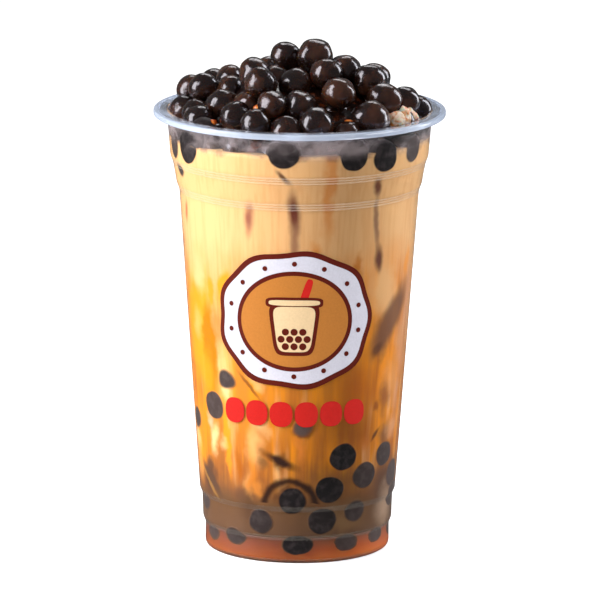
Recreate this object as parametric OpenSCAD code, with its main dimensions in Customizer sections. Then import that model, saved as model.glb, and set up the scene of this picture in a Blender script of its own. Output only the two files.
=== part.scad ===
// Bubble tea in a clear cup: milk tea on brown sugar syrup, under a heap of tapioca pearls.
// Millimetres, +Z up. The origin is the centre of the foot, on the surface that the cup stands on.

/* [Cup] */
// Height of the cup, from the surface it stands on to the top of its rim
cup_h = 149.5; // [130:0.5:185]
// Outside diameter of the rim
rim_d = 98; // [90:0.5:118]
// Width of the rim, from the wall's outside to the lip's edge
rim_w = 4.5; // [3.5:0.1:6]
// Thickness of the flat rim
rim_t = 0.8; // [0.5:0.1:1.5]
// Width of the lip that is rolled down round the rim's edge
lip_w = 1.7; // [1:0.1:3]
// Height of the lip
lip_h = 1.9; // [1.2:0.1:3]
// Thickness of the side wall
wall = 0.5; // [0.3:0.05:1]
// Thickness of the floor
floor_t = 0.8; // [0.4:0.05:1.6]

/* [Stacking ledges] */
// Height of the shoulder, from the top of the rim to the upper ledge
shoulder_h = 15.3; // [11:0.1:19]
// How much the shoulder's radius shrinks on the way down
shoulder_taper = 1.2; // [0:0.1:2]
// Height of the collar between the two ledges
collar_h = 6.4; // [4:0.1:12]
// How much the collar's radius shrinks on the way down
collar_taper = 1.1; // [0:0.1:2]
// Height of each ledge's slope
ledge_h = 2.8; // [1:0.1:4]
// How far the wall steps in at each ledge
ledge_in = 1; // [0.3:0.1:1.5]

/* [Foot] */
// Diameter of the foot
foot_d = 62; // [52:0.1:72]
// Height of the foot
foot_h = 8; // [5:0.1:12]
// Height of the plain band above the foot
band_h = 8.1; // [5:0.1:12]
// How much the band's radius shrinks on the way down
band_taper = 0.3; // [0:0.05:0.6]
// Height of the slope above the foot and above the band
step_h = 2; // [0.5:0.1:3]
// How far the wall steps in at each of those slopes
step_in = 0.85; // [0.3:0.05:1.5]
// Width of the ring that the cup stands on
ring_w = 5.2; // [4:0.1:8]
// Height of the floor's underside above the surface
floor_rise = 1.6; // [0.5:0.1:3]

/* [Filling] */
// Height of the brown sugar syrup's top above the surface that the cup stands on
syrup_level = 9; // [6:0.1:20]
// Depth of the milk tea's top below the top of the rim
milk_drop = 8.2; // [5:0.1:12]

/* [Pearls] */
// Mean diameter of a pearl
pearl_d = 11.4; // [9:0.1:14]
// Largest difference of a pearl's diameter from the mean
pearl_spread = 1.1; // [0:0.1:1.5]
// Number of pearls over the heap's dome
pearl_count = 48; // [30:1:80]
// Number of pearls in the ring that leans on the wall, level with the rim
ring_count = 19; // [10:1:26]
// Height of the heap's top above the rim
heap_rise = 24; // [15:0.5:32]
// Height of the outermost pearls' tops above the rim
edge_rise = 8.5; // [3:0.5:12]
// Most that a pearl sits below the heap's even dome
pearl_dip = 2.4; // [0:0.1:4]
// Gap between the heap and the cup's wall
heap_gap = 0.1; // [0.05:0.05:0.5]

/* [Hidden] */
$fn = 96;
corner_steps = 4;
// Rings of points over the heap
heap_rings = 28;
golden_angle = 137.508;
// How softly each kind of corner turns: the length of wall that its curve takes on each side
foot_corner = 2;
step_corner = 0.5;
ledge_corner = 0.7;
lip_corner = 0.7;
// Slope of the floor's edge, as width for each unit of height
floor_flare = 0.8;
// How far the hollows between the pearls lie inside the dome through the pearls' centres
hollow = 0.6;
// How far below the rim the heap's surface meets the wall
edge_drop = 4;
// Full range of a pearl's shift from its even place, in degrees over the dome and round the cup
shift_out = 5;
shift_round = 14;
// The same for the pearls on the wall, as a share of the space between them
ring_shift = 0.4;

rim_r = rim_d / 2;
mouth_r = rim_r - rim_w;
shoulder_foot_r = mouth_r - shoulder_taper;
collar_top_r = shoulder_foot_r - ledge_in;
collar_foot_r = collar_top_r - collar_taper;
body_top_r = collar_foot_r - ledge_in;
foot_r = foot_d / 2;
band_foot_r = foot_r + step_in;
band_top_r = band_foot_r + band_taper;
body_foot_r = band_top_r + step_in;
floor_r = foot_r - ring_w;

band_foot_z = foot_h + step_h;
band_top_z = band_foot_z + band_h;
body_foot_z = band_top_z + step_h;
shoulder_foot_z = cup_h - shoulder_h;
collar_top_z = shoulder_foot_z - ledge_h;
collar_foot_z = collar_top_z - collar_h;
body_top_z = collar_foot_z - ledge_h;
milk_level = cup_h - milk_drop;

// The wall's outer corners from the foot up, each as [radius, height, length of its curve].
wall_corners = [
    [foot_r, foot_h, step_corner],
    [band_foot_r, band_foot_z, step_corner],
    [band_top_r, band_top_z, step_corner],
    [body_foot_r, body_foot_z, step_corner],
    [body_top_r, body_top_z, ledge_corner],
    [collar_foot_r, collar_foot_z, ledge_corner],
    [collar_top_r, collar_top_z, ledge_corner],
    [shoulder_foot_r, shoulder_foot_z, ledge_corner]
];

function reversed(list) = [for (i = [len(list) - 1 : -1 : 0]) list[i]];

function flat(point) = [point[0], point[1]];

// A line through corners given as [x, y, length of curve], with each corner between the ends rounded off.
function rounded(corners) = [
    for (i = [0 : len(corners) - 1])
        let (
            here = flat(corners[i]),
            before = flat(corners[max(i - 1, 0)]),
            after = flat(corners[min(i + 1, len(corners) - 1)]),
            back = norm(before - here),
            ahead = norm(after - here),
            turn = min(corners[i][2], back / 2, ahead / 2),
            start = back > 0 ? here + (before - here) * turn / back : here,
            end = ahead > 0 ? here + (after - here) * turn / ahead : here
        )
        each turn > 0
            ? [for (k = [0 : corner_steps])
                let (t = k / corner_steps)
                start * (1 - t) * (1 - t) + here * 2 * t * (1 - t) + end * t * t]
            : [here]
];

outer_line = rounded(concat(
    [
        [0, floor_rise, 0],
        [floor_r, floor_rise, step_corner],
        [floor_r + floor_rise * floor_flare, 0, step_corner],
        [foot_r, 0, foot_corner]
    ],
    wall_corners,
    [
        [mouth_r, cup_h - rim_t, step_corner],
        [rim_r - lip_w, cup_h - rim_t, step_corner],
        [rim_r - lip_w, cup_h - lip_h, lip_corner],
        [rim_r, cup_h - lip_h, lip_corner],
        [rim_r, cup_h, lip_corner],
        [mouth_r - wall, cup_h, 0]
    ]
));

cavity_line = rounded(concat(
    [
        [0, floor_rise + floor_t, 0],
        [floor_r, floor_rise + floor_t, step_corner],
        [floor_r + floor_rise * floor_flare, floor_t, step_corner],
        [foot_r - wall, floor_t, foot_corner - wall]
    ],
    [for (corner = wall_corners) corner - [wall, 0, 0]],
    [[mouth_r - wall, cup_h, 0]]
));

// Inside radius of the cup at a height on its side wall.
function inside_r(z) = lookup(z, concat(
    [for (corner = wall_corners) [corner[1], corner[0] - wall]],
    [[cup_h, mouth_r - wall]]
));

// A repeatable number from 0 to 1 for item i, of which k names the use.
function chance(i, k) = let (v = sin(i * 127.1 + k * 311.7 + 17) * 43758.5453) v - floor(v);

// The heap's even dome is part of a ball. The pearls' centres lie on it, out to a circle inside the wall.
heap_r = inside_r(cup_h) - heap_gap;
edge_r = heap_r - (pearl_d + pearl_spread) / 2;
dome_h = heap_rise - edge_rise;
dome_r = (edge_r * edge_r + dome_h * dome_h) / (2 * dome_h);
dome_middle = [0, 0, cup_h + heap_rise - pearl_d / 2 - dome_r];
dome_angle = atan2(edge_r, cup_h + edge_rise - pearl_d / 2 - dome_middle[2]);
heap_angle = atan2(heap_r, cup_h - edge_drop - dome_middle[2]);

// The direction from the dome's middle at an angle from upright and an angle round the cup.
function direction(tilt, round) = [sin(tilt) * cos(round), sin(tilt) * sin(round), cos(tilt)];

function pearl_radius(i, k) = (pearl_d + pearl_spread * (2 * chance(i, k) - 1)) / 2;

// A pearl is [centre from the dome's middle, radius]. Most lie on a sunflower spiral over the dome.
dome_pearls = [
    for (i = [0 : pearl_count - 1])
        let (
            even = acos(1 - (1 - cos(dome_angle)) * (i + 0.5) / pearl_count),
            tilt = min(dome_angle, even + shift_out * (chance(i, 1) - 0.5)),
            round = i * golden_angle + shift_round * (chance(i, 2) - 0.5)
        )
        [(dome_r - pearl_dip * chance(i, 3)) * direction(tilt, round), pearl_radius(i, 4)]
];

// The others lean on the wall, their centres a little below the rim.
ring_pearls = [
    for (i = [0 : ring_count - 1])
        let (
            round = 360 / ring_count * (i + ring_shift * (chance(i, 5) - 0.5)),
            z = cup_h - pearl_dip * chance(i, 6)
        )
        [[edge_r * cos(round), edge_r * sin(round), z] - dome_middle, pearl_radius(i, 7)]
];

// The heap's surface in a direction: the outermost pearl there, or the hollow between the pearls.
function surface_point(way) =
    let (
        flat_share = norm(flat(way)),
        wall_reach = flat_share > 0 ? heap_r / flat_share : dome_r,
        reach = max(concat(
            [min(dome_r - hollow, wall_reach)],
            [for (p = concat(dome_pearls, ring_pearls))
                let (
                    along = way * p[0],
                    inside = p[1] * p[1] - p[0] * p[0] + along * along
                )
                if (inside > 0) along + sqrt(inside)]
        ))
    )
    dome_middle + way * reach;

// The heap's points are its middle, then ring after ring, the k-th with 6 k points, and last its lower edge.
function ring_index(k, n) = k == 0 ? 0 : 1 + 3 * k * (k - 1) + n % (6 * k);

edge_count = 6 * heap_rings;
heap_points = concat(
    [surface_point([0, 0, 1])],
    [for (k = [1 : heap_rings], n = [0 : 6 * k - 1])
        surface_point(direction(heap_angle * k / heap_rings, 60 * n / k))],
    [for (n = [0 : edge_count - 1])
        let (r = inside_r(milk_level) - heap_gap, a = 360 * n / edge_count)
        [r * cos(a), r * sin(a), milk_level]]
);

// Each ring joins the one inside it, in six equal sectors.
heap_top_faces = [
    for (k = [1 : heap_rings], sector = [0 : 5], j = [0 : k - 1])
        let (
            outer = ring_index(k, sector * k + j),
            next_outer = ring_index(k, sector * k + j + 1),
            inner = ring_index(k - 1, sector * (k - 1) + j),
            next_inner = ring_index(k - 1, sector * (k - 1) + j + 1)
        )
        each j < k - 1
            ? [[next_outer, outer, inner], [next_outer, inner, next_inner]]
            : [[next_outer, outer, inner]]
];

lower_edge = len(heap_points) - edge_count;
heap_side_faces = [
    for (n = [0 : edge_count - 1])
        let (
            high = ring_index(heap_rings, n),
            next_high = ring_index(heap_rings, n + 1),
            low = lower_edge + n,
            next_low = lower_edge + (n + 1) % edge_count
        )
        each [[high, next_high, next_low], [high, next_low, low]]
];

module cavity() {
    rotate_extrude() polygon(concat(cavity_line, [[0, cup_h]]));
}

module slab(low, high) {
    translate([0, 0, low]) cylinder(r = rim_r, h = high - low);
}

module cup() {
    color([0.93, 0.95, 0.97, 0.3])
        rotate_extrude() polygon(concat(outer_line, reversed(cavity_line)));
}

module syrup() {
    color([0.6, 0.27, 0.1])
        intersection() {
            cavity();
            slab(0, syrup_level);
        }
}

module milk_tea() {
    color([0.87, 0.66, 0.42])
        intersection() {
            cavity();
            slab(syrup_level, milk_level);
        }
}

module pearl_heap() {
    color([0.13, 0.08, 0.06])
        polyhedron(
            points = heap_points,
            faces = concat(heap_top_faces, heap_side_faces, [[for (n = [0 : edge_count - 1]) lower_edge + n]])
        );
}

cup();
syrup();
milk_tea();
pearl_heap();
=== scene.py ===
"""Looks for a bubble tea: a clear cup of milk tea on brown sugar syrup, under a heap of tapioca pearls."""

import math
import random

import bmesh
import bpy
import numpy as np
from mathutils import Matrix, Vector, noise

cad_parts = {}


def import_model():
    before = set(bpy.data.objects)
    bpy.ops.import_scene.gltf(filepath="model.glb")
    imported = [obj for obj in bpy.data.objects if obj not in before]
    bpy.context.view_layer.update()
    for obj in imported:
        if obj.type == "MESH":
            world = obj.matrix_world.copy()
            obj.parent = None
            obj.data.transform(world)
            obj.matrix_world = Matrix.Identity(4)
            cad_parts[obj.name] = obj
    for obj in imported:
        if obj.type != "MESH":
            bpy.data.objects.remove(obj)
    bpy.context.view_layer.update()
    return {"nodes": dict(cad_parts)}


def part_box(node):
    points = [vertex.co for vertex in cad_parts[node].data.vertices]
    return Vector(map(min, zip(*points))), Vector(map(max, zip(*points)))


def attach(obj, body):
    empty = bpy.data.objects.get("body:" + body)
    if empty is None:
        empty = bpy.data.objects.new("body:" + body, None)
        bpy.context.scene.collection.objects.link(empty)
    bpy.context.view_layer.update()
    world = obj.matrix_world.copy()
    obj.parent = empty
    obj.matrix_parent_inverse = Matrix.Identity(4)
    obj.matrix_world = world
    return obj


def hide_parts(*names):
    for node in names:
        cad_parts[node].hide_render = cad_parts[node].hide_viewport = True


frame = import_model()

MM = 0.001

# -------------------- places, all taken from the frame

rim_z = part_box("cup")[1].z
rim_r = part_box("cup")[1].x
milk_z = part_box("milk_tea")[1].z
syrup_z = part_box("syrup")[1].z
heap_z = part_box("pearl_heap")[1].z

# The camera: how far it looks down and leans, in degrees, its lens in mm, its distance in m, and the point
# that it looks at, beside the cup's axis and above the floor.
VIEW_RISE = 12.0
VIEW_ROLL = 0.35
VIEW_LENS = 463.5
VIEW_DISTANCE = 2.6
VIEW_ASIDE = 0.5 * MM
VIEW_HEIGHT = 83.9 * MM

view_rise = math.radians(VIEW_RISE)
SIGHT = Vector((0, math.cos(view_rise), -math.sin(view_rise)))

# How far the filling reaches into the cup's wall, and a sunk pearl a little further.
FILL_IN = 0.15 * MM
PEARL_IN = 0.2 * MM
# The drink hides a sunk pearl's edge over this depth.
SOFT_EDGE = 1.2 * MM

# The cup's floor ends within this share of the radius beside it.
FLOOR_SHARE = 0.93
# The wall is measured between these shares of its height, and a ledge is where it is flatter than this slope.
PLAIN_FROM, PLAIN_TO = 0.3, 0.9
LEDGE_SLOPE = 0.3
# Heights nearer to each other than this count as one.
SAME_HEIGHT = 0.02 * MM


def radii(*names):
    """(height, radius) of every vertex of these nodes."""
    out = []
    for name in names:
        for v in frame["nodes"][name].data.vertices:
            out.append((round(v.co.z, 5), math.hypot(v.co.x, v.co.y)))
    return out


def inside_wall():
    """The cup's inside radius at each height, up to the rim, as two lists."""
    widest = {}
    for z, r in radii("syrup", "milk_tea"):
        widest[z] = max(widest.get(z, 0), r)
    side = min(r for z, r in radii("milk_tea")) * FLOOR_SHARE
    points = [(z, r) for z, r in sorted(widest.items()) if r > side]
    mouth = min(r for z, r in radii("cup") if z > rim_z - SAME_HEIGHT / 2)
    points.append((rim_z, mouth))
    return [p[0] for p in points], [p[1] for p in points]


def wall_thickness():
    """The difference between the cup's radii at the heights where both faces have a vertex."""
    levels = {}
    for z, r in radii("cup"):
        if PLAIN_FROM * rim_z < z < PLAIN_TO * rim_z:
            levels.setdefault(z, []).append(r)
    return max(max(rs) - min(rs) for rs in levels.values())


def ledge_heights():
    """The middle of each place where the wall steps outwards."""
    spans = zip(WALL_Z, WALL_Z[1:], WALL_R, WALL_R[1:])
    return [
        (low + high) / 2 for low, high, r0, r1 in spans
        if high > low and (r1 - r0) / (high - low) > LEDGE_SLOPE
    ]


WALL_Z, WALL_R = inside_wall()
WALL = wall_thickness()
LEDGES = ledge_heights()


def inside(z):
    return float(np.interp(z, WALL_Z, WALL_R))


def apart(heights):
    """These heights in order, without those that lie almost on the one before."""
    out = []
    for z in sorted(heights):
        if not out or z - out[-1] > SAME_HEIGHT:
            out.append(z)
    return out


def on_wall(angle, z, r):
    """The point at an angle round the cup, in degrees from the front towards +X."""
    a = math.radians(angle)
    return Vector((r * math.sin(a), -r * math.cos(a), z))


# -------------------- mesh helpers


def add_object(name, data):
    obj = bpy.data.objects.new(name, data)
    bpy.context.scene.collection.objects.link(obj)
    return obj


def mesh_object(name, verts, faces, looks):
    mesh = bpy.data.meshes.new(name)
    mesh.from_pydata([tuple(v) for v in verts], [], faces)
    mesh.validate()
    mesh.update()
    mesh.shade_smooth()
    mesh.materials.append(looks)
    return add_object(name, mesh)


def revolve(profile, segments=160):
    """Vertices and faces of a closed solid turned round +Z. The profile starts and ends on the axis."""
    verts, rows, faces = [], [], []
    for r, z in profile:
        if r < 1e-7:
            rows.append([len(verts)])
            verts.append((0, 0, z))
            continue
        rows.append(list(range(len(verts), len(verts) + segments)))
        for k in range(segments):
            a = 2 * math.pi * k / segments
            verts.append((r * math.cos(a), r * math.sin(a), z))
    for low, high in zip(rows, rows[1:]):
        for k in range(segments):
            n = (k + 1) % segments
            if len(low) == 1:
                faces.append((low[0], high[n], high[k]))
            elif len(high) == 1:
                faces.append((low[k], low[n], high[0]))
            else:
                faces.append((low[k], low[n], high[n], high[k]))
    return verts, faces


def unit_ball(detail):
    bm = bmesh.new()
    bmesh.ops.create_icosphere(bm, subdivisions=detail, radius=1)
    verts = np.array([v.co[:] for v in bm.verts])
    faces = np.array([[v.index for v in f.verts] for f in bm.faces])
    bm.free()
    return verts, faces


BALL, BALL_FACES = unit_ball(4)

# A pearl's shape, in shares of its radius: how much its three widths differ, and its lumps as
# (fineness, depth).
WIDTHS_DIFFER = 0.06
LUMPS = [(1.1, 0.09), (2.6, 0.02)]
# Each pearl takes its lumps from another place in the noise, this far off at most.
NOISE_REACH = 50


def lumpy_ball(centre, radius, seed, lump=1.0):
    """A soft pearl: a ball that is a little flat one way and has low lumps."""
    rng = random.Random(seed)
    stretch = np.array([1 + rng.uniform(-WIDTHS_DIFFER, WIDTHS_DIFFER) for _ in range(3)])
    stretch /= stretch.mean()
    shift = Vector([rng.uniform(-NOISE_REACH, NOISE_REACH) for _ in range(3)])
    lumps = np.array([
        sum(noise.noise(Vector(v) * fine + shift) * deep for fine, deep in LUMPS)
        for v in BALL
    ]) * lump
    size = (1 + lumps) / (1 + lumps).mean()
    return np.array(centre) + BALL * stretch * size[:, None] * radius


def joined(name, shapes, looks):
    """One mesh of many balls."""
    count = len(shapes[0])
    verts = np.concatenate(shapes)
    every = np.concatenate([BALL_FACES + k * count for k in range(len(shapes))])
    return mesh_object(name, verts, every.tolist(), looks)


# -------------------- node helpers


def linear(r, g, b):
    """A colour as it shows on a screen, 0 to 255, as the shader's numbers."""
    def channel(c):
        c = c / 255
        return c / 12.92 if c <= 0.04045 else ((c + 0.055) / 1.055) ** 2.4
    return (channel(r), channel(g), channel(b), 1.0)


def put(tree, kind, inputs=None, **settings):
    """Adds a node. An input is a value or the socket of another node."""
    node = tree.nodes.new(kind if kind.startswith("NodeGroup") else "ShaderNode" + kind)
    for key, value in settings.items():
        setattr(node, key, value)
    for key, value in (inputs or {}).items():
        if isinstance(value, bpy.types.NodeSocket):
            tree.links.new(value, node.inputs[key])
        else:
            node.inputs[key].default_value = value
    return node


def calc(tree, operation, *values):
    return put(tree, "Math", dict(enumerate(values)), operation=operation).outputs[0]


def times(tree, first, second):
    return calc(tree, "MULTIPLY", first, second)


def mixed(tree, factor, first, second):
    """first where the factor is 0, second where it is 1, as colours."""
    return put(tree, "Mix", {0: factor, 6: first, 7: second}, data_type="RGBA").outputs[2]


def between(tree, factor, first, second):
    """The same for two numbers."""
    return put(tree, "Mix", {0: factor, 2: first, 3: second}, data_type="FLOAT").outputs[0]


def steps(tree, value, low, high):
    """0 at low, 1 at high, and between them a smooth step. low may be the larger."""
    return put(tree, "MapRange", {0: value, 1: low, 2: high}, interpolation_type="SMOOTHSTEP").outputs[0]


def ramp(tree, value, stops):
    """The colours of these (place from 0 to 1, colour) stops, at the value."""
    node = put(tree, "ValToRGB", {0: value})
    elements = node.color_ramp.elements
    while len(elements) < len(stops):
        elements.new(0.5)
    for element, (at, colour) in zip(elements, stops):
        element.position = at
        element.color = colour
    return node.outputs[0]


def material(name):
    """A material without nodes, and its tree."""
    made = bpy.data.materials.new(name)
    made.use_nodes = True
    made.node_tree.nodes.clear()
    return made, made.node_tree


def surface(tree, shader):
    put(tree, "OutputMaterial", {0: shader})


def principled(tree, colour, rough, inputs):
    inputs = {"Base Color": colour, "Roughness": rough, **inputs}
    return put(tree, "BsdfPrincipled", inputs).outputs[0]


def noise_at(tree, scale, detail=2.0, upright=1.0):
    """Noise in the object's own space. upright under 1 draws it out upwards."""
    here = put(tree, "TexCoord").outputs["Object"]
    place = put(tree, "Mapping", {0: here, 3: (1, 1, upright)}).outputs[0]
    return put(tree, "TexNoise", {"Vector": place, "Scale": scale, "Detail": detail}).outputs["Fac"]


def bump(tree, height, strength, distance):
    inputs = {"Height": height, "Strength": strength, "Distance": distance}
    return put(tree, "Bump", inputs).outputs[0]


# -------------------- the drink's colour

TAN = linear(238, 192, 134)
GOLD = linear(248, 160, 28)
CREAM = linear(252, 214, 152)

# The drink's colour from its foot up, as (height in mm, colour).
LAYERS = [
    (8, linear(112, 80, 58)),
    (20, linear(118, 82, 52)),
    (27, linear(160, 98, 46)),
    (37, linear(192, 116, 38)),
    (48, linear(214, 134, 36)),
    (72, linear(224, 144, 46)),
    (92, linear(232, 164, 92)),
    (110, TAN),
]
LAYERS_TOP = 150

# Threads in the drink's lower half, as (fineness, how upright, from, to, strength, colour).
THREADS = [
    (150.0, 0.10, 0.44, 0.62, 0.75, GOLD),
    (130.0, 0.16, 0.52, 0.70, 0.60, CREAM),
    (190.0, 0.10, 0.50, 0.68, 0.55, linear(182, 98, 34)),
    (420.0, 0.06, 0.50, 0.66, 0.30, GOLD),
]

# Soft patches of the drink near the wall, each as
# (angle, height, half width in degrees, half height, lean in degrees per mm, softness, strength, colour).
PATCHES = [
    # golden syrup that runs down the wall
    (-66, 78, 20, 24, 0, 0.6, 1.0, GOLD),
    (-41, 94, 5.5, 8, 0.2, 0.6, 1.0, GOLD),
    (-61, 98, 9, 10, 0, 0.8, 0.9, TAN),
    (-54, 71, 8, 22, 0, 0.5, 1.0, linear(192, 128, 4)),
    (-50.5, 92, 3, 6, 0, 0.7, 0.9, linear(216, 160, 30)),
    (-65, 79, 7, 9, 0, 0.9, 0.8, linear(222, 182, 104)),
    (-46, 79, 7, 11, 0, 0.8, 0.6, linear(208, 120, 24)),
    (-57, 62, 8, 12, 0, 0.8, 0.8, GOLD),
    (-73, 38, 6, 18, 0, 0.8, 0.8, GOLD),
    (-43, 44, 3.5, 20, 0, 0.7, 0.9, GOLD),
    (-24, 60, 8, 8, 0, 0.9, 0.6, GOLD),
    (8, 104, 5, 9, 0, 0.8, 0.8, linear(226, 140, 44)),
    (31, 101, 4, 8, 0, 0.8, 0.8, linear(206, 124, 40)),
    (14, 132, 4.5, 26, 0, 0.7, 0.65, linear(222, 140, 58)),
    (46, 84, 7, 14, 0, 0.8, 0.6, linear(222, 146, 56)),
    (70, 100, 4, 10, 0, 0.9, 0.6, GOLD),
    (76, 86, 12, 20, 0, 1.0, 0.6, linear(226, 176, 136)),
    (57, 42, 7, 8, 0, 0.9, 0.7, linear(118, 78, 52)),
    # paler milk
    (-25, 41, 8, 11, 0, 1.0, 0.85, linear(244, 190, 118)),
    (-54, 41, 6, 8, 0.2, 0.9, 0.9, CREAM),
    (-76, 39, 7, 6, 0, 0.9, 0.7, CREAM),
    (-46, 40, 4, 4, 0, 0.9, 0.5, CREAM),
    (-57, 47, 4, 4, 0, 0.9, 0.8, linear(230, 196, 160)),
    (-23, 26, 4, 4, 0, 0.9, 0.6, linear(232, 150, 60)),
    (-36, 33, 4, 9, 0, 0.9, 0.8, linear(180, 96, 8)),
    (-10, 36, 6, 6, 0, 0.9, 0.5, linear(130, 78, 30)),
    (-60, 30, 4, 5, 0, 0.8, 0.8, linear(110, 76, 52)),
    (2, 40, 5, 9, 0, 0.9, 0.7, linear(236, 148, 60)),
    (40, 41, 7, 5, 0, 0.9, 0.6, linear(210, 122, 48)),
    (-29, 27, 5, 7, 0, 0.9, 0.8, linear(232, 166, 90)),
    (-42, 59, 4, 4.5, 0.4, 0.9, 0.9, CREAM),
    (-22, 49, 7, 6, -0.6, 0.8, 0.7, CREAM),
    (-23, 63, 6, 5, -0.6, 0.8, 0.5, CREAM),
    (63, 60, 15, 12, 0, 0.9, 0.5, linear(234, 172, 108)),
    (68, 75, 9, 10, 0, 0.9, 0.6, linear(228, 174, 124)),
    (49, 93, 14, 13, 0, 0.7, 0.9, TAN),
    # Painted shadow: a small dark spot just past the right end of the red dots.
    (48, 53, 3, 3, 0, 0.8, 0.7, linear(140, 72, 34)),
    (68, 54, 6, 8, 0, 0.9, 0.6, linear(222, 170, 128)),
    (72, 68, 9, 9, 0, 0.9, 0.6, linear(226, 168, 120)),
    (50, 73, 5, 7, 0, 0.9, 0.6, linear(140, 90, 50)),
    (66, 44, 12, 6, 0, 0.9, 0.6, linear(232, 180, 132)),
    # brown syrup
    (30, 46, 24, 12, 0, 1.0, 0.6, linear(150, 78, 30)),
    (34, 60, 20, 14, 0, 1.0, 0.6, linear(186, 92, 30)),
    (55, 55, 8, 8, 0, 0.9, 0.7, linear(140, 74, 40)),
    (4, 47, 8, 3.4, 0, 0.8, 0.8, linear(110, 58, 26)),
    (24, 28, 34, 9, 0, 0.9, 0.6, linear(118, 84, 50)),
    (60, 26, 26, 14, 0, 0.9, 0.8, linear(96, 68, 54)),
    (-62, 26, 10, 9, 0.3, 0.7, 0.95, linear(104, 70, 50)),
    (-21, 36, 5, 3.4, 0, 0.8, 0.8, linear(136, 92, 50)),
    (-10, 36, 5, 4, 0, 0.8, 0.8, linear(120, 74, 28)),
    (26, 15, 24, 9, 0, 0.9, 0.85, linear(150, 112, 74)),
    (67, 17, 17, 12, 0, 0.9, 0.85, linear(188, 156, 128)),
    (-36, 22, 9, 4, 0, 0.9, 0.7, linear(110, 74, 52)),
    # Painted shade: darker brown beside the sunk pearl at -23 degrees.
    (-28, 17, 12, 7, 0, 0.9, 0.6, linear(88, 56, 36)),
    (-6, 24, 11, 5, 0, 0.8, 0.9, linear(74, 44, 26)),
    (-27, 28, 4, 7, 0.3, 0.8, 0.7, linear(214, 130, 40)),
]

# The same for drips and shreds, whose edges wander less.
DRIPS = [
    (-24.5, 119, 4.0, 8.5, 0.06, 0.9, 0.95, linear(160, 96, 76)),
    (-2.6, 121.5, 4.2, 11, -0.08, 0.8, 1.0, linear(118, 60, 44)),
    (-1.8, 110, 3.4, 13, 0, 0.9, 0.75, linear(146, 96, 74)),
    (-7, 134, 2.6, 3.4, -1.1, 0.8, 0.9, linear(92, 54, 40)),
    (38.5, 129, 3.2, 4.4, 0, 0.8, 0.95, linear(120, 68, 50)),
    (40.5, 117, 2.7, 13, -0.16, 0.8, 0.8, linear(140, 100, 82)),
    (43.5, 104, 3.9, 7, -0.1, 0.8, 1.0, linear(120, 76, 60)),
    (-71, 117, 3, 6, 0.2, 0.8, 0.75, linear(180, 84, 50)),
    (-84, 104, 4, 6, 0.5, 0.8, 0.8, linear(180, 84, 50)),
    (56, 82, 13, 15, 1.05, 0.6, 0.9, linear(128, 86, 62)),
    (46, 72.5, 5, 3.5, 0.8, 0.7, 0.7, linear(96, 60, 44)),
    (-27, 61, 2.2, 6.5, -1.4, 0.8, 0.8, linear(120, 70, 34)),
    (-60, 26, 6.5, 7.5, -1.7, 0.6, 0.85, linear(98, 70, 54)),
    (-63, 25, 2.6, 8, -1.7, 0.7, 0.6, linear(190, 140, 70)),
    (-10, 36, 7, 4.6, -2.6, 0.8, 1.0, linear(56, 32, 24)),
    (49, 43, 2.6, 3.2, 1.2, 0.8, 0.85, linear(84, 54, 36)),
]

# Dark lines of syrup over sunk pearls, with the width of the line as a share of the oval.
ARCS = [
    (-4.5, 20.5, 15, 8.4, 0, 0.9, 0.95, linear(48, 26, 18), 0.24),
    (150, 29, 15, 9, 0, 0.9, 0.8, linear(48, 26, 18), 0.22),
]


def spot_group():
    """Node group: how much a place on the wall lies in a soft oval that may lean."""
    group = bpy.data.node_groups.new("soft_spot", "ShaderNodeTree")
    for name in ("Angle", "Height", "At", "Level", "Wide", "Tall", "Lean", "Soft", "Strength", "Ring"):
        group.interface.new_socket(name, in_out="INPUT", socket_type="NodeSocketFloat")
    group.interface.new_socket("Mask", in_out="OUTPUT", socket_type="NodeSocketFloat")
    given = put(group, "NodeGroupInput").outputs
    up = calc(group, "SUBTRACT", given["Height"], given["Level"])
    leaning = calc(group, "MULTIPLY_ADD", up, given["Lean"], given["At"])
    aside = calc(group, "DIVIDE", calc(group, "SUBTRACT", given["Angle"], leaning), given["Wide"])
    along = calc(group, "DIVIDE", up, given["Tall"])
    squares = calc(group, "ADD", calc(group, "POWER", aside, 2.0), calc(group, "POWER", along, 2.0))
    near = calc(group, "SQRT", squares)
    # With a ring width, only the upper edge of the oval.
    edge = calc(group, "DIVIDE", calc(group, "ABSOLUTE", calc(group, "SUBTRACT", near, 1.0)), given["Ring"])
    edge = calc(group, "ADD", edge, calc(group, "LESS_THAN", along, 0.1))
    ringed = calc(group, "GREATER_THAN", given["Ring"], 0.001)
    near = between(group, ringed, near, edge)
    fade = steps(group, near, 1.0, calc(group, "SUBTRACT", 1.0, given["Soft"]))
    mask = times(group, fade, given["Strength"])
    put(group, "NodeGroupOutput", {0: mask})
    return group


SPOT = spot_group()


def add_spots(tree, colour, angle, height, spots):
    """The colour with these soft ovals laid over it, one after the other."""
    for at, level, wide, tall, lean, soft, strength, ink, *ring in spots:
        spot = put(tree, "Group", {
            "Angle": angle, "Height": height, "At": at, "Level": level, "Wide": wide, "Tall": tall,
            "Lean": lean, "Soft": soft, "Strength": strength, "Ring": ring[0] if ring else 0.0,
        }, node_tree=SPOT)
        colour = mixed(tree, spot.outputs[0], colour, ink)
    return colour


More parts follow.
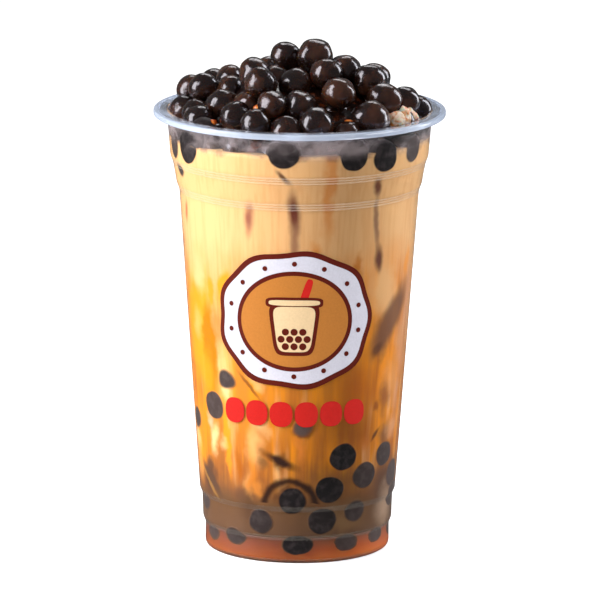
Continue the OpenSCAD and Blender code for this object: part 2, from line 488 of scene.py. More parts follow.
# Patches and drips on the side away from the badge, drawn by chance: (how many, first angle, step, then the
# least and most height, half width, half height and lean, then softness, strength, colour).
BACK_PATCHES = [
    (7, 98, 27, (50, 95), (5, 14), (12, 26), None, 0.9, 0.8, GOLD),
    (6, 104, 30, (30, 66), (4, 8), (5, 9), (-0.5, 0.5), 0.8, 0.8, CREAM),
    (5, 100, 40, (22, 46), (12, 24), (8, 13), None, 1.0, 0.65, linear(112, 76, 50)),
]
BACK_DRIPS = [
    (7, 104, 25, (104, 124), (2.2, 3.2), (7, 14), (-0.15, 0.15), 0.8, 0.85, linear(132, 72, 52)),
    (5, 100, 38, (28, 84), (2.4, 6), (4, 12), (-1.6, 1.2), 0.7, 0.85, linear(96, 62, 46)),
]
BACK_STRAY = 8


def back_spots(kinds, seed):
    """The soft ovals of these kinds. An upright kind draws no lean."""
    rng = random.Random(seed)
    out = []
    for many, first, step, level, wide, tall, lean, *looks in kinds:
        for k in range(many):
            angle = first + k * step + rng.uniform(-BACK_STRAY, BACK_STRAY)
            sizes = [rng.uniform(*span) for span in (level, wide, tall)]
            out.append((angle, *sizes, rng.uniform(*lean) if lean else 0, *looks))
    return out


def drink_group():
    """Node group: the colour of the drink at each place on the inside of the wall."""
    group = bpy.data.node_groups.new("drink_colour", "ShaderNodeTree")
    group.interface.new_socket("Colour", in_out="OUTPUT", socket_type="NodeSocketColor")
    here = put(group, "TexCoord").outputs["Object"]
    part = put(group, "SeparateXYZ", {0: here}).outputs
    turn = calc(group, "ARCTAN2", part["X"], times(group, part["Y"], -1.0))
    degrees = calc(group, "DEGREES", turn)
    # The back runs on from 90 to 270 degrees, so that no spot is cut.
    behind = times(group, calc(group, "LESS_THAN", degrees, -90.0), 360.0)
    degrees = calc(group, "ADD", degrees, behind)
    height = calc(group, "DIVIDE", part["Z"], MM)
    # Wandering edges, in degrees and mm, wider for the patches than for the drips
    wander = put(group, "TexNoise", {"Vector": here, "Scale": 160.0, "Detail": 3.0}).outputs["Color"]
    sway = put(group, "SeparateXYZ", {0: wander}).outputs
    aside = calc(group, "SUBTRACT", sway["X"], 0.5)
    up = calc(group, "SUBTRACT", sway["Y"], 0.5)
    angle = calc(group, "MULTIPLY_ADD", aside, 9.0, degrees)
    level = calc(group, "MULTIPLY_ADD", up, 8.0, height)
    near_angle = calc(group, "MULTIPLY_ADD", aside, 3.0, degrees)
    near_level = calc(group, "MULTIPLY_ADD", up, 3.0, height)
    # Layers, drawn out into fingers
    fingers = noise_at(group, 130.0, upright=0.12)
    shifted = calc(group, "MULTIPLY_ADD", calc(group, "SUBTRACT", fingers, 0.5), 26.0, level)
    drawn = between(group, steps(group, height, 16.0, 34.0), level, shifted)
    share = calc(group, "DIVIDE", drawn, LAYERS_TOP)
    colour = ramp(group, share, [(z / LAYERS_TOP, c) for z, c in LAYERS])
    # Golden, pale and brown threads, strongest in the lower half
    window = times(group, steps(group, height, 22.0, 34.0), steps(group, height, 112.0, 84.0))
    for scale, upright, low, high, strength, ink in THREADS:
        threads = noise_at(group, scale, 3.0, upright)
        amount = times(group, steps(group, threads, low, high), window)
        colour = mixed(group, times(group, amount, strength), colour, ink)
    # Faint fine threads over all of it
    fine = steps(group, noise_at(group, 700.0, upright=0.03), 0.42, 0.7)
    faint = times(group, steps(group, height, 20, 30), 0.2)
    colour = mixed(group, times(group, fine, faint), colour, linear(206, 132, 62))
    colour = add_spots(group, colour, angle, level, PATCHES + back_spots(BACK_PATCHES, 5))
    colour = add_spots(group, colour, near_angle, near_level, DRIPS + ARCS + back_spots(BACK_DRIPS, 6))
    # A stain of syrup where the drink meets the pearls
    edge = noise_at(group, 140.0, 3.0, 0.5)
    reach = calc(group, "MULTIPLY_ADD", edge, 5.0, level)
    stain = times(group, steps(group, reach, milk_z / MM + 0.8, milk_z / MM + 3.6), 0.75)
    colour = mixed(group, stain, colour, linear(132, 96, 78))
    put(group, "NodeGroupOutput", {0: colour})
    return group


DRINK = drink_group()


def drink_colour(tree):
    return put(tree, "Group", node_tree=DRINK).outputs[0]


# -------------------- materials


def milk_material():
    made, tree = material("milk_tea_looks")
    surface(tree, principled(tree, drink_colour(tree), 0.35, {"IOR": 1.35, "Specular IOR Level": 0.2}))
    return made


def syrup_material():
    """Brown syrup, brighter and more orange towards +X: painted light, the glow of lamps shining through it.
    """
    made, tree = material("syrup_looks")
    here = put(tree, "SeparateXYZ", {0: put(tree, "TexCoord").outputs["Object"]}).outputs
    share = calc(tree, "DIVIDE", here["Z"], syrup_z)
    brown = ramp(tree, share, [
        (0.0, linear(196, 110, 56)),
        (0.35, linear(160, 84, 44)),
        (0.7, linear(142, 76, 50)),
        (1.0, linear(126, 78, 60)),
    ])
    patches = noise_at(tree, 90.0, 3.0, 1.6)
    brown = mixed(tree, steps(tree, patches, 0.5, 0.75), brown, linear(120, 56, 34))
    # Painted light: a brighter orange for the +X side, standing in for light that shines through the syrup.
    painted_glow = ramp(tree, share, [
        (0.0, linear(246, 136, 60)),
        (0.5, linear(200, 104, 52)),
        (1.0, linear(150, 94, 70)),
    ])
    colour = mixed(tree, steps(tree, here["X"], -4 * MM, 12 * MM), brown, painted_glow)
    surface(tree, principled(tree, colour, 0.3, {
        "IOR": 1.4, "Subsurface Weight": 0.5,
        "Subsurface Radius": (1, 0.35, 0.12), "Subsurface Scale": 0.004,
    }))
    return made


def pearl_material():
    made, tree = material("pearl_looks")
    cloud = noise_at(tree, 120.0, 3.0)
    colour = mixed(tree, steps(tree, cloud, 0.42, 0.66), linear(26, 15, 12), linear(60, 34, 22))
    ripples = noise_at(tree, 330.0, 3.0)
    surface(tree, principled(tree, colour, 0.18, {
        "IOR": 1.5, "Subsurface Weight": 0.35, "Subsurface Radius": (1, 0.3, 0.08), "Subsurface Scale": 0.002,
        "Specular Tint": (0.94, 0.88, 1, 1), "Coat Weight": 0.4, "Coat Roughness": 0.08,
        "Coat Tint": (1, 1, 1, 1), "Normal": bump(tree, ripples, 0.5, 0.8 * MM),
    }))
    return made


def sunk_material():
    """Pearls behind the wall: dark where they touch it, veiled by the drink towards their edges."""
    made, tree = material("sunk_pearl_looks")
    cover = put(tree, "Attribute", attribute_name="cover").outputs["Fac"]
    veil_and_sheen = put(tree, "Attribute", attribute_name="veil_and_sheen").outputs["Fac"]
    cloud = noise_at(tree, 420.0, 3.0)
    dark = mixed(tree, steps(tree, cloud, 0.4, 0.7), linear(32, 26, 27), linear(58, 50, 50))
    # Paler where the drink lies in front; on two pearls this paleness also stands in for grey glints, a
    # painted sheen.
    dark = mixed(tree, veil_and_sheen, dark, linear(136, 112, 104))
    colour = mixed(tree, steps(tree, cover, 0.15, 0.95), dark, drink_colour(tree))
    surface(tree, principled(tree, colour, 0.4, {"IOR": 1.35, "Specular IOR Level": 0.2}))
    return made


def core_material():
    made, tree = material("heap_core_looks")
    cloud = noise_at(tree, 240.0, 3.0)
    colour = mixed(tree, steps(tree, cloud, 0.5, 0.72), linear(26, 14, 11), linear(92, 40, 16))
    surface(tree, principled(tree, colour, 0.18, {"IOR": 1.45, "Normal": bump(tree, cloud, 0.6, 1 * MM)}))
    return made


CLEAR = (0.97, 0.98, 1.0, 1)


def clear_material():
    """Clear plastic that lets the lamps through to the drink, with painted highlights that make it whiter on
    its rim and its ledges.
    """
    made, tree = material("clear_plastic_looks")
    here = put(tree, "TexCoord").outputs["Object"]
    part = put(tree, "SeparateXYZ", {0: here}).outputs
    flat = put(tree, "CombineXYZ", {0: part["X"], 1: part["Y"]}).outputs[0]
    reach = put(tree, "VectorMath", {0: flat}, operation="LENGTH").outputs["Value"]
    mouth = inside(rim_z) + WALL
    # The rim, whitest on its rolled lip: partly painted reflection, partly the plastic's own whiteness
    outside = steps(tree, reach, mouth, mouth + 0.8 * MM)
    on_rim = times(tree, outside, steps(tree, part["Z"], rim_z - 2.8 * MM, rim_z - 2.2 * MM))
    on_lip = steps(tree, reach, rim_r - 2.0 * MM, rim_r - 1.2 * MM)
    highlights_and_film = times(tree, on_rim, calc(tree, "MULTIPLY_ADD", on_lip, 0.5, 0.12))
    # A painted highlight: a fine pale line on each ledge, fainter on the foot's
    for z in LEDGES:
        away = calc(tree, "ABSOLUTE", calc(tree, "SUBTRACT", part["Z"], z))
        strength = 0.2 if z > rim_z / 2 else 0.05
        line = times(tree, steps(tree, away, 0.4 * MM, 0.1 * MM), strength)
        highlights_and_film = calc(tree, "MAXIMUM", highlights_and_film, line)
    # A thin film of milk and syrup that runs down above the drink
    film = noise_at(tree, 80.0, 3.0, 1.5)
    wet = times(tree, steps(tree, part["Z"], milk_z - 3 * MM, milk_z + 2 * MM), 0.5)
    highlights_and_film = calc(tree, "MAXIMUM", highlights_and_film, times(tree, steps(tree, film, 0.4, 0.7), wet))
    waves = noise_at(tree, 40.0, 1.0, 0.25)
    plastic = principled(tree, CLEAR, 0.03, {
        "IOR": 1.5, "Transmission Weight": 1.0, "Normal": bump(tree, waves, 0.15, 0.5 * MM),
    })
    # The painted highlight is bluish on the rim and mauve inside it, and the milk film is cream against the
    # drink.
    painted_highlight_and_film_colour = mixed(tree, noise_at(tree, 300.0), (0.5, 0.57, 0.72, 1), (0.6, 0.67, 0.8, 1))
    inner = steps(tree, reach, mouth, mouth - 0.3 * MM)
    painted_highlight_and_film_colour = mixed(tree, inner, painted_highlight_and_film_colour, (0.42, 0.34, 0.34, 1))
    under = steps(tree, part["Z"], milk_z - 3 * MM, milk_z - 4 * MM)
    painted_highlight_and_film_colour = mixed(tree, under, painted_highlight_and_film_colour, (1, 0.9, 0.76, 1))
    white = principled(tree, painted_highlight_and_film_colour, 0.25, {})
    # The painted highlights and the milk film lie as a white shader over the clear plastic.
    body = put(tree, "MixShader", {0: highlights_and_film, 1: plastic, 2: white}).outputs[0]
    clear = put(tree, "BsdfTransparent", {0: CLEAR}).outputs[0]
    shadow = put(tree, "LightPath").outputs["Is Shadow Ray"]
    surface(tree, put(tree, "MixShader", {0: shadow, 1: body, 2: clear}).outputs[0])
    return made


INK_WEAR = 0.8


def ink_material(name, colour):
    """Ink printed on the wall, a little uneven."""
    made, tree = material(name)
    grain = noise_at(tree, 1500.0)
    worn = mixed(tree, grain, colour, (*(INK_WEAR * c for c in colour[:3]), 1))
    surface(tree, principled(tree, worn, 0.42, {
        "Specular IOR Level": 0.15, "Normal": bump(tree, grain, 0.1, 0.1 * MM),
    }))
    return made


# -------------------- the drink and the syrup


# Rings of vertices up the side of the drink and the syrup, and over the drink's top, as shares of its radius.
MILK_RINGS, SYRUP_RINGS = 90, 12
TOP_RINGS = (0.97, 0.7, 0.4)


def milk_fill():
    """The drink from the syrup up to its level, reaching just into the wall."""
    rings = list(np.linspace(syrup_z, milk_z, MILK_RINGS))
    heights = apart([z for z in WALL_Z if syrup_z < z < milk_z] + rings)
    side = [(inside(z) + FILL_IN, z) for z in heights]
    top = [(inside(milk_z) * share, milk_z) for share in TOP_RINGS]
    verts, faces = revolve([(0, syrup_z)] + side + top + [(0, milk_z)])
    return mesh_object("milk_tea_fill", verts, faces, milk_material())


def syrup_fill():
    """The syrup from the cup's floor up, reaching just into the wall and the floor."""
    edge = FLOOR_SHARE * max(r for z, r in radii("syrup"))
    under = sorted({(round(r, 5), z) for z, r in radii("syrup") if r < edge and z < syrup_z / 2})
    rings = list(np.linspace(0.4 * syrup_z, syrup_z, SYRUP_RINGS))
    heights = apart([z for z in WALL_Z if z < syrup_z] + rings)
    bottom = [(0, under[0][1] - FILL_IN)] + [(r, z - FILL_IN) for r, z in under if r > 0]
    side = [(inside(z) + FILL_IN, z) for z in heights]
    verts, faces = revolve(bottom + side + [(0, syrup_z)])
    return mesh_object("syrup_fill", verts, faces, syrup_material())


# -------------------- the pearls

# Pearls that show on the heap, from the nearest to the farthest, in mm: how far right of the cup's axis,
# how far above the rim on that axis the pearl is seen, and its diameter.
SEEN_PEARLS = [
    (5.5, -6.5, 12), (-14.5, -6.5, 11), (23.5, -4, 13), (-21, -4, 11), (-33.5, -5, 10.5), (0, -1, 12.5),
    (-25.5, 0, 12.5), (-7, -0.5, 11), (-34.5, -2, 10), (13, 4.5, 11), (28, 2.5, 11.5), (35, 2, 10.5),
    (-1.5, 7.5, 11.5), (-13, 7.5, 11.5), (-23, 5.5, 10.5), (23, 9, 11), (-36, 6, 11), (-39.5, 3, 10),
    (15, 12.5, 11.5), (5, 17.5, 12.5), (-4.5, 17.5, 10.5), (-15, 11, 11.5), (40.5, 0, 10), (-10.5, 13, 10),
    (25, 10.5, 10.5), (-23.5, 9.5, 10.5), (-29, 9, 10), (12, -3.5, 11), (33, -3, 10.5), (-8, 9, 10.5),
]

# The dome through the pearls' centres, as in the frame: its rise above the rim and the rise of its edge.
MEAN_PEARL = 11.4 * MM
EDGE_RISE = 8.5 * MM
PEARL_GAP = 0.15 * MM

# How near two pearls may lie, as a share of both radii: those at the outside, and those that fill up.
SQUEEZE = 0.93
TIGHT = 0.85
# A pearl that is hidden behind others is moved on along the sight line by this, at most so many times.
HIDE_STEP, HIDE_TRIES = 0.4 * MM, 80
# A pearl may rise this far over the outline that the pearls above give.
OVER_OUTLINE = 0.3 * MM

dome_edge = inside(rim_z) - PEARL_GAP - MEAN_PEARL / 2
dome_rise = heap_z - rim_z - EDGE_RISE
dome_r = (dome_edge ** 2 + dome_rise ** 2) / (2 * dome_rise)
dome_middle = Vector((0, 0, heap_z - MEAN_PEARL / 2 - dome_r))


def is_clear(centre, radius, others, squeeze):
    return all((centre - c).length >= squeeze * (radius + r) for c, r in others)


def in_cup(centre, radius):
    """The centre, moved in from the wall where the pearl would be in it."""
    reach = inside(min(centre.z, rim_z)) - PEARL_GAP - radius
    flat = math.hypot(centre.x, centre.y)
    if flat > reach:
        return Vector((centre.x * reach / flat, centre.y * reach / flat, centre.z))
    return centre


def skyline(x):
    """The height of the heap's outline, on the axis plane, at x."""
    tops = [0]
    for at, rise, diameter in SEEN_PEARLS:
        room = (diameter / 2) ** 2 - (x / MM - at) ** 2
        if room > 0:
            tops.append(rim_z + (rise + math.sqrt(room)) * MM)
    return max(tops)


def is_below_outline(centre, radius):
    """Whether a pearl stays under the heap's outline, as seen from the camera."""
    height = centre.z + centre.y * math.tan(view_rise)
    across = radius / math.cos(view_rise)
    for a in range(20, 161, 20):
        x = centre.x + radius * math.cos(math.radians(a))
        if height + across * math.sin(math.radians(a)) > skyline(x) + OVER_OUTLINE:
            return False
    return True


def on_sight_line(x, above, dome):
    """The point on the axis plane seen at x and this far above the rim, in mm, and the way on from it, along
    the sight line, to where a dome with this radius begins."""
    start = Vector((x * MM, 0, rim_z + above * MM)) - dome_middle
    middle = -start.dot(SIGHT)
    near = start + SIGHT * middle
    half = math.sqrt(max(dome ** 2 - near.length_squared, 0))
    return dome_middle + start, middle - half


def seen_pearls():
    """Each pearl lies on the dome where it is seen, or behind the pearls before it."""
    placed = []
    for x, above, diameter in SEEN_PEARLS:
        radius = diameter / 2 * MM
        seen, way = on_sight_line(x, above, dome_r)
        reach = inside(rim_z) - PEARL_GAP - radius
        side = reach ** 2 - (x * MM) ** 2
        if side > 0:
            way = max(way, -math.sqrt(side) / math.cos(view_rise))
        centre = seen + SIGHT * way
        tries = 0
        while not is_clear(centre, radius, placed, SQUEEZE) and tries < HIDE_TRIES:
            centre = centre + SIGHT * HIDE_STEP
            tries += 1
        placed.append((in_cup(centre, radius), radius))
    return placed


def add_pearls(placed, candidates, squeeze):
    """Adds the candidates that have room and stay under the outline."""
    for centre, radius in candidates:
        centre = in_cup(centre, radius)
        if is_clear(centre, radius, placed, squeeze) and is_below_outline(centre, radius):
            placed.append((centre, radius))


# Rings of pearls on the wall, from the drink's level to just above the rim, as (height, step in degrees).
WALL_RINGS = [(milk_z + 5.2 * MM, 14), (rim_z + 2.6 * MM, 13)]
# The rest is tried at so many places on each of these domes, in mm inside the outer one. The places wind
# outwards from the top by this turn, down to this tilt in degrees.
SHELLS = (0, 1.5, 3, 4.5, 6, 8, 10)
PLACES = 900
WINDING = 2.39996
STEEPEST = 52


def wall_candidates(rng):
    for low, step in WALL_RINGS:
        for k in range(int(360 / step)):
            radius = MEAN_PEARL / 2 * rng.uniform(0.9, 1.05)
            z = low + rng.uniform(-1.2, 1.2) * MM
            angle = k * step + rng.uniform(-3, 3)
            yield on_wall(angle, z, inside(min(z, rim_z)) - PEARL_GAP - radius), radius


def dome_candidates(rng, inward):
    cap = 1 - math.cos(math.radians(STEEPEST))
    for k in range(PLACES):
        tilt = math.acos(1 - cap * (k + 0.5) / PLACES)
        turn = k * WINDING
        reach = dome_r - inward - rng.uniform(0, 2.6) * MM
        way = Vector((math.sin(tilt) * math.cos(turn), math.sin(tilt) * math.sin(turn), math.cos(tilt)))
        yield dome_middle + way * reach, MEAN_PEARL / 2 * rng.uniform(0.88, 1.08)


def heap_pearls():
    """The centre and radius of every pearl of the heap, first those that show."""
    rng = random.Random(3)
    placed = seen_pearls()
    add_pearls(placed, wall_candidates(rng), SQUEEZE)
    for inward in SHELLS:
        add_pearls(placed, dome_candidates(rng, inward * MM), TIGHT)
    return placed


def pearl_heap_fill(placed):
    """The loose pearls of the heap as one mesh."""
    shapes = [lumpy_ball(centre, radius, k) for k, (centre, radius) in enumerate(placed)]
    return joined("pearls", shapes, pearl_material())


# Amber syrup that shows between the pearls, and how deep under their faces it lies, as the pearls above.
SYRUP_BITS = [(-13.5, -1.5, 4), (-29, -6.5, 4), (16, -6.5, 4), (-12, -3, 3.5), (30.5, -2, 3.5)]
SYRUP_DEPTH = 2.4 * MM
# How many times deeper the lumps are than a pearl's.
SYRUP_LUMP, FOAM_LUMP = 3.0, 7.0


def amber_material():
    made, tree = material("amber_looks")
    cells = noise_at(tree, 400.0, 3.0)
    colour = mixed(tree, steps(tree, cells, 0.35, 0.65), linear(240, 140, 62), linear(176, 74, 22))
    surface(tree, principled(tree, colour, 0.12, {
        "IOR": 1.48, "Subsurface Weight": 0.6, "Subsurface Scale": 0.003,
        "Normal": bump(tree, cells, 0.5, 0.8 * MM),
    }))
    return made


def syrup_bits():
    shapes = []
    for k, (x, above, size) in enumerate(SYRUP_BITS):
        radius = size / 2 * MM
        seen, way = on_sight_line(x, above, dome_r - SYRUP_DEPTH)
        shapes.append(lumpy_ball(in_cup(seen + SIGHT * way, radius), radius, 720 + k, SYRUP_LUMP))
    return joined("syrup_bits", shapes, amber_material())


# Bits of milk foam caught between the pearls at the rim, as the pearls above.
FOAM = [(32, -4.5, 5), (34, -3, 5.5), (36.5, -2.5, 4.5), (35, -1.5, 3.5), (33, -4.5, 3.5)]


def foam_material():
    made, tree = material("foam_looks")
    cells = noise_at(tree, 700.0, 3.0)
    colour = mixed(tree, steps(tree, cells, 0.4, 0.7), linear(248, 226, 204), linear(214, 136, 70))
    surface(tree, principled(tree, colour, 0.35, {
        "Subsurface Weight": 0.5, "Subsurface Scale": 0.002,
        "Normal": bump(tree, cells, 0.6, 0.6 * MM),
    }))
    return made


def foam_bits():
    """Small lumps close to the wall, at the places where they are seen."""
    shapes = []
    for k, (x, above, size) in enumerate(FOAM):
        radius = size / 2 * MM
        reach = inside(rim_z) - PEARL_GAP - radius - 1 * MM
        y = -math.sqrt(reach ** 2 - (x * MM) ** 2)
        centre = Vector((x * MM, y, rim_z + above * MM - y * math.tan(view_rise)))
        shapes.append(lumpy_ball(in_cup(centre, radius), radius, 700 + k, FOAM_LUMP))
    return joined("foam_bits", shapes, foam_material())


# The core between the pearls: how far it lies inside their dome, the mouth and the wall, how far it dips into
# the drink, and its lumps, as (fineness, height), which are cut off at their highest.
CORE_UNDER, CORE_MOUTH, CORE_WALL, CORE_DIP = 6 * MM, 1.5 * MM, 0.9 * MM, 1 * MM
CORE_LUMPS = [(110, 1.4 * MM), (260, 0.6 * MM)]
CORE_LUMP_MOST = 0.7 * MM
CORE_ARC = 16


def heap_core():
    """The dark syrupy mass between the pearls, inside their outline and behind the wall above the drink."""
    reach = dome_r - CORE_UNDER
    mouth = inside(rim_z) - CORE_MOUTH
    lip = math.asin(mouth / reach) if mouth < reach else math.pi / 2
    edge = min(dome_middle.z + reach * math.cos(lip), rim_z)
    low = milk_z - CORE_DIP
    profile = [(0, low), (inside(milk_z) - 4 * MM, low)]
    profile += [(inside(z) - CORE_WALL, z) for z in np.linspace(low + 0.5 * MM, edge - 1.5 * MM, 9)]
    for k in range(1, CORE_ARC + 1):
        tilt = lip * (1 - k / CORE_ARC)
        profile.append((reach * math.sin(tilt), dome_middle.z + reach * math.cos(tilt)))
    verts, faces = revolve(profile, 240)
    rough = []
    for x, y, z in verts:
        spot = Vector((x, y, z))
        lump = sum(noise.noise(spot * fine) * high for fine, high in CORE_LUMPS)
        side = z < edge - 1 * MM
        away = (Vector((x, y, 0)) if side else spot - dome_middle).normalized()
        rough.append(spot + away * min(lump, CORE_LUMP_MOST))
    return mesh_object("heap_core", rough, faces, core_material())


# Pearls against the wall, in the drink or half in it:
# (angle, height, how wide it shows, how much the drink pales it from 0 to 1), in degrees and mm. On the last
# two the paleness is also a painted sheen, their grey glints.
WALL_PEARLS = [
    (-7, 142, 9.5, 0), (25, 141, 10, 0), (41, 139.5, 9.5, 0), (-59, 140, 10, 0), (-52, 145, 8, 0),
    (-70, 133, 4.5, 0.1), (-42, 62.5, 6.5, 0.2), (-53, 52.5, 9.5, 0.25), (-76, 45.5, 7.5, 0.25),
    (3, 48, 5, 0.5), (27, 37, 9.5, 0), (42, 29.5, 9, 0.2), (59, 35.5, 8.5, 0.25), (19, 26, 9.5, 0),
    (37, 18, 8, 0.2), (15, 15, 9, 0.05), (-23, 14.5, 8, 0.1), (-3, 22.5, 8.5, 0), (0, 7, 9.5, 0),
    (33, 7, 8, 0.3), (59, 7.5, 7, 0.35), (-42, 8, 8, 0.15), (-66, 7, 7, 0.3), (-73, 17, 6, 0.3),
    # These two are paled further as a painted sheen of grey glints.
    (71, 27.5, 9, 0.4), (76, 20, 8.5, 0.45),
]
# Rows of the same away from the badge, as (height, stray in height, first angle, last angle, step).
BACK_ROWS = [
    (7, 0, 88, 268, 27), (15, 2.5, 100, 268, 29), (25, 2.5, 96, 268, 33), (34, 2.5, 110, 268, 48),
    (50, 2.5, 120, 268, 75), (142, 2.5, 66, 290, 22),
]


def back_wall_pearls():
    rng = random.Random(8)
    out = []
    for level, stray, first, last, step in BACK_ROWS:
        for angle in range(first, last, step):
            turned = angle + rng.uniform(-6, 6)
            height = level + rng.uniform(-1, 1) * stray
            out.append((turned, height, rng.uniform(7, 9.8), rng.uniform(0, 0.4)))
    return out


# A sunk pearl is this much wider than it shows. The lowest lie on the floor and are squashed to this share.
SHOWS_LESS = 1.6 * MM
LOWEST = 9 * MM
SQUASH = 0.76


def pressed_pearl(angle, height, shown, seed):
    """A pearl pressed flat on the wall over the width it shows, and how far the drink covers each vertex."""
    radius = max(MEAN_PEARL, shown * MM + SHOWS_LESS) / 2
    press = radius - math.sqrt(radius ** 2 - (shown / 2 * MM) ** 2) + SOFT_EDGE / 2
    z = max(height * MM, radius * 0.8 + 1.2 * MM)
    centre = on_wall(angle, z, inside(z) + PEARL_IN - radius + press)
    verts = lumpy_ball(centre, radius, seed)
    if height * MM < LOWEST:
        verts[:, 2] = z + (verts[:, 2] - z) * SQUASH
    flat = np.hypot(verts[:, 0], verts[:, 1])
    limit = np.interp(verts[:, 2], WALL_Z, WALL_R) + PEARL_IN
    over = flat - limit
    pull = np.where(over > 0, limit / np.maximum(flat, 1e-6), 1.0)
    verts[:, 0] *= pull
    verts[:, 1] *= pull
    floor = WALL_Z[0] + 0.1 * MM
    verts[:, 2] = np.maximum(verts[:, 2], floor)
    cover = np.clip(1 - over / SOFT_EDGE, 0, 1)
    cover[verts[:, 2] > milk_z] = 0
    return verts, cover


def sunk_pearls():
    shapes, covers, veils_and_sheen = [], [], []
    for k, (angle, height, shown, veil_and_sheen) in enumerate(WALL_PEARLS + back_wall_pearls()):
        verts, cover = pressed_pearl(angle, height, shown, 300 + k)
        shapes.append(verts)
        covers.append(cover)
        veils_and_sheen.append(np.full(len(verts), veil_and_sheen))
    piece = joined("sunk_pearls", shapes, sunk_material())
    for name, values in (("cover", covers), ("veil_and_sheen", veils_and_sheen)):
        attribute = piece.data.attributes.new(name, "FLOAT", "POINT")
        attribute.data.foreach_set("value", np.concatenate(values).astype(np.float32))
    return piece


# -------------------- the print on the cup


# How much one layer of ink stands over the one below it.
INK_STEP = 0.03 * MM


def outline(x, z, wide, tall, power=2.0, lobes=0, depth=0.0, taper=0.0, turn=0.0, count=120):
    """A closed outline of (x, z) in mm round this middle. power 2 is an oval and more is squarer. lobes and
    their depth scallop it, taper widens it towards the top, and turn is in degrees."""
    turned = math.radians(turn)
    points = []
    for n in range(count):
        a = 2 * math.pi * n / count
        c, s = math.cos(a), math.sin(a)
        size = (abs(c) ** power + abs(s) ** power) ** (-1 / power) * (1 + depth * math.cos(lobes * a))
        u, v = wide / 2 * c * size, tall / 2 * s * size
        u *= 1 + taper * v / tall
        points.append((
            x + u * math.cos(turned) - v * math.sin(turned),
            z + u * math.sin(turned) + v * math.cos(turned),
        ))
    return points


def printed(name, shapes, layer, looks, rows=3):
    """Flat shapes bent round the wall. Each is a thin closed body, its front a few layers of ink proud."""
    verts, faces = [], []
    front, back = (layer + 2) * INK_STEP, -INK_STEP
    for points in shapes:
        x0, z0 = np.mean(points, axis=0)
        start, count = len(verts), len(points)
        for out, order in ((front, 1), (back, -1)):
            base = len(verts)
            for k in range(rows + 1):
                share = k / rows
                for x, z in points if k else [(x0, z0)]:
                    u, v = (x0 + (x - x0) * share) * MM, (z0 + (z - z0) * share) * MM
                    r = inside(v) + WALL + out
                    verts.append(on_wall(math.degrees(u / r), v, r))
            for n in range(count):
                m = (n + 1) % count
                faces.append((base, base + 1 + n, base + 1 + m)[::order])
                for k in range(1, rows):
                    low, high = base + 1 + (k - 1) * count, base + 1 + k * count
                    faces.append((low + n, high + n, high + m, low + m)[::order])
        edge = 1 + (rows - 1) * count
        second = start + 1 + rows * count
        for n in range(count):
            m = (n + 1) % count
            faces.append((start + edge + m, start + edge + n, second + edge + n, second + edge + m))
    piece = mesh_object(name, verts, faces, looks)
    piece.data.set_sharp_from_angle(angle=math.radians(30))
    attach(piece, "root")


INK_WHITE = linear(218, 216, 228)
INK_BROWN = linear(98, 24, 10)
INK_TAN = linear(196, 124, 52)
INK_CREAM = linear(238, 206, 160)
INK_RED = linear(206, 30, 24)
# The middle of the badge and its size, and the row of dots under it, in mm.
BADGE_X, BADGE_Z = -1.4, 84.9
BADGE_WIDE, BADGE_TALL = 55, 47
SCALLOPS = {"power": 2.2, "lobes": 9, "depth": 0.02}
EDGE_LINE = 1.8
RING_DOTS, RING_DOT = 14, 1.7
FIELD_WIDE, FIELD_TALL, FIELD_LINE = 37, 31.5, 1.5
# The rows of drawn pearls, from the bottom, and how far they lie apart across and upwards.
DRAWN_ROWS = (3, 4, 3)
DRAWN_PEARL, DRAWN_ASIDE, DRAWN_UP = 2.4, 2.9, 2.5
CUP_TAPER = 0.32
BAND_DOTS, BAND_Z, BAND_WIDE, BAND_TALL, BAND_STEP = 6, 52.3, 7.8, 8.7, 8.5
# Rows of vertices from a shape's middle to its edge, so that it follows the wall.
WIDE_ROWS, CUP_ROWS = 20, 8


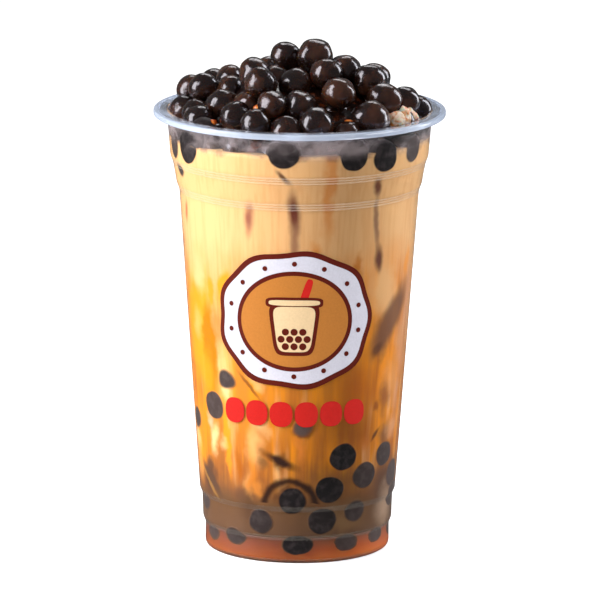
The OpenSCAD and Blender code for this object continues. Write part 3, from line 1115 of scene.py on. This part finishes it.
def badge():
    """A drawn cup of pearls in an oval badge, over a row of red dots."""
    x, z = BADGE_X, BADGE_Z
    brown, white = ink_material("ink_brown", INK_BROWN), ink_material("ink_white", INK_WHITE)
    tan, cream = ink_material("ink_tan", INK_TAN), ink_material("ink_cream", INK_CREAM)
    red = ink_material("ink_red", INK_RED)

    edge = outline(x, z, BADGE_WIDE, BADGE_TALL, **SCALLOPS)
    ring = outline(x, z, BADGE_WIDE - 2 * EDGE_LINE, BADGE_TALL - 2 * EDGE_LINE, **SCALLOPS)
    line = outline(x, z - 0.4, FIELD_WIDE + 2 * FIELD_LINE, FIELD_TALL + 2 * FIELD_LINE)
    field = outline(x, z - 0.4, FIELD_WIDE, FIELD_TALL)
    printed("badge_edge", [edge], 0, brown, WIDE_ROWS)
    printed("badge_ring", [ring], 1, white, WIDE_ROWS)
    printed("badge_line", [line], 2, brown, WIDE_ROWS)
    printed("badge_field", [field], 3, tan, WIDE_ROWS)

    straw = outline(x + 3.6, z + 8.4, 2.6, 12, 4, turn=-18)
    printed("badge_straw", [straw], 4, red)
    cup_edge = [outline(x, z - 3.2, 15.5, 18, 6, taper=CUP_TAPER), outline(x, z + 6, 19.4, 3.8, 4)]
    printed("badge_cup_edge", cup_edge, 5, brown, CUP_ROWS)
    cup_face = [outline(x, z - 3.1, 12.9, 15.6, 6, taper=CUP_TAPER), outline(x, z + 6, 17.2, 1.9, 4)]
    printed("badge_cup", cup_face, 6, cream, CUP_ROWS)
    pearls = []
    for row, many in enumerate(DRAWN_ROWS):
        for k in range(many):
            aside, up = (k - (many - 1) / 2) * DRAWN_ASIDE, row * DRAWN_UP - 9
            pearls.append(outline(x + aside, z + up, DRAWN_PEARL, DRAWN_PEARL, count=40))
    printed("badge_cup_pearls", pearls, 7, brown)

    dots = []
    for k in range(RING_DOTS):
        a = 2 * math.pi * (k + 0.5) / RING_DOTS
        dots.append(outline(x + 23 * math.cos(a), z + 19.4 * math.sin(a), RING_DOT, RING_DOT, count=32))
    printed("badge_dots", dots, 4, brown)
    band = []
    for k in range(BAND_DOTS):
        band.append(outline(x + (k - (BAND_DOTS - 1) / 2) * BAND_STEP, BAND_Z, BAND_WIDE, BAND_TALL, 2.4))
    printed("band_dots", band, 0, red)


# -------------------- make everything

milk = milk_fill()
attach(milk, "root")
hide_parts("milk_tea")

syrup = syrup_fill()
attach(syrup, "root")
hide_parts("syrup")

heap = pearl_heap_fill(heap_pearls())
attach(heap, "root")
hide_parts("pearl_heap")

core = heap_core()
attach(core, "root")

amber = syrup_bits()
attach(amber, "root")

foam = foam_bits()
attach(foam, "root")

sunk = sunk_pearls()
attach(sunk, "root")

badge()

cup = frame["nodes"]["cup"]
cup.data.materials.clear()
cup.data.materials.append(clear_material())

# -------------------- floor, lights and camera


# Half the floor's width, in m, and the height that the lamps face.
FLOOR_REACH = 4.0
LAMPS_FACE = 90 * MM


def floor():
    made, tree = material("floor_looks")
    grain = times(tree, noise_at(tree, 8.0), 0.05)
    colour = mixed(tree, grain, (0.93, 0.93, 0.93, 1), (0.88, 0.88, 0.89, 1))
    ray = put(tree, "LightPath").outputs
    # The cup mirrors a darker floor, as beside a dark card in a studio.
    colour = mixed(tree, ray["Is Glossy Ray"], colour, (0.1, 0.1, 0.1, 1))
    surface(tree, principled(tree, colour, 0.7, {
        "Specular IOR Level": 0.2, "Emission Color": (1, 1, 1, 1),
        "Emission Strength": times(tree, ray["Is Camera Ray"], 0.5),
    }))
    far = FLOOR_REACH
    corners = [(-far, -far, 0), (far, -far, 0), (far, far, 0), (-far, far, 0)]
    mesh_object("floor", corners, [(0, 1, 2, 3)], made)


def softbox(name, azimuth, elevation, distance, wide, tall, power, colour=(1, 1, 1), seen=True):
    """A rectangular lamp that faces the cup's middle, at an azimuth from the front towards +X. Angles are in
    degrees, sizes in m, the power in W. An unseen one isn't mirrored."""
    lamp = bpy.data.lights.new(name, "AREA")
    lamp.shape = "RECTANGLE"
    lamp.size, lamp.size_y = wide, tall
    lamp.energy = power
    lamp.color = colour
    obj = add_object(name, lamp)
    level = math.radians(elevation)
    back = on_wall(azimuth, math.sin(level), math.cos(level))
    obj.location = Vector((0, 0, LAMPS_FACE)) + back * distance
    obj.rotation_mode = "QUATERNION"
    obj.rotation_quaternion = (-back).to_track_quat("-Z", "Y")
    obj.visible_glossy = seen


def world():
    made = bpy.data.worlds.new("surroundings")
    bpy.context.scene.world = made
    made.use_nodes = True
    tree = made.node_tree
    tree.nodes.clear()
    ray = put(tree, "LightPath").outputs
    # White where it is looked at, also through the plastic, dimmer as a mirror image and as light on the cup.
    mirrored = calc(tree, "MULTIPLY_ADD", ray["Is Glossy Ray"], -0.85, 1.0)
    lit = calc(tree, "GREATER_THAN", ray["Diffuse Depth"], 0.5)
    strength = between(tree, lit, mirrored, 0.36)
    sky = put(tree, "Background", {0: (1, 1, 1, 1), 1: strength}).outputs[0]
    put(tree, "OutputWorld", {0: sky})


def camera():
    data = bpy.data.cameras.new("camera")
    data.lens = VIEW_LENS
    data.sensor_width = 36
    data.clip_start, data.clip_end = 0.05, 20
    obj = add_object("camera", data)
    obj.location = Vector((VIEW_ASIDE, 0, VIEW_HEIGHT)) - SIGHT * VIEW_DISTANCE
    tilt = Matrix.Rotation(math.radians(90 - VIEW_RISE), 3, "X")
    roll = Matrix.Rotation(math.radians(VIEW_ROLL), 3, "Z")
    obj.rotation_mode = "QUATERNION"
    obj.rotation_quaternion = (tilt @ roll).to_quaternion()
    bpy.context.scene.camera = obj


floor()
world()
softbox("key", -73, 24, 1.0, 0.5, 1.0, 15.5)
softbox("fill", 20, 20, 1.6, 0.9, 1.0, 5.5, seen=False)
softbox("right", 112, 22, 0.9, 0.25, 0.9, 6.5, (0.92, 0.96, 1))
softbox("back", 172, 48, 1.0, 0.6, 0.25, 2)
camera()
bpy.context.scene.view_settings.view_transform = "Standard"
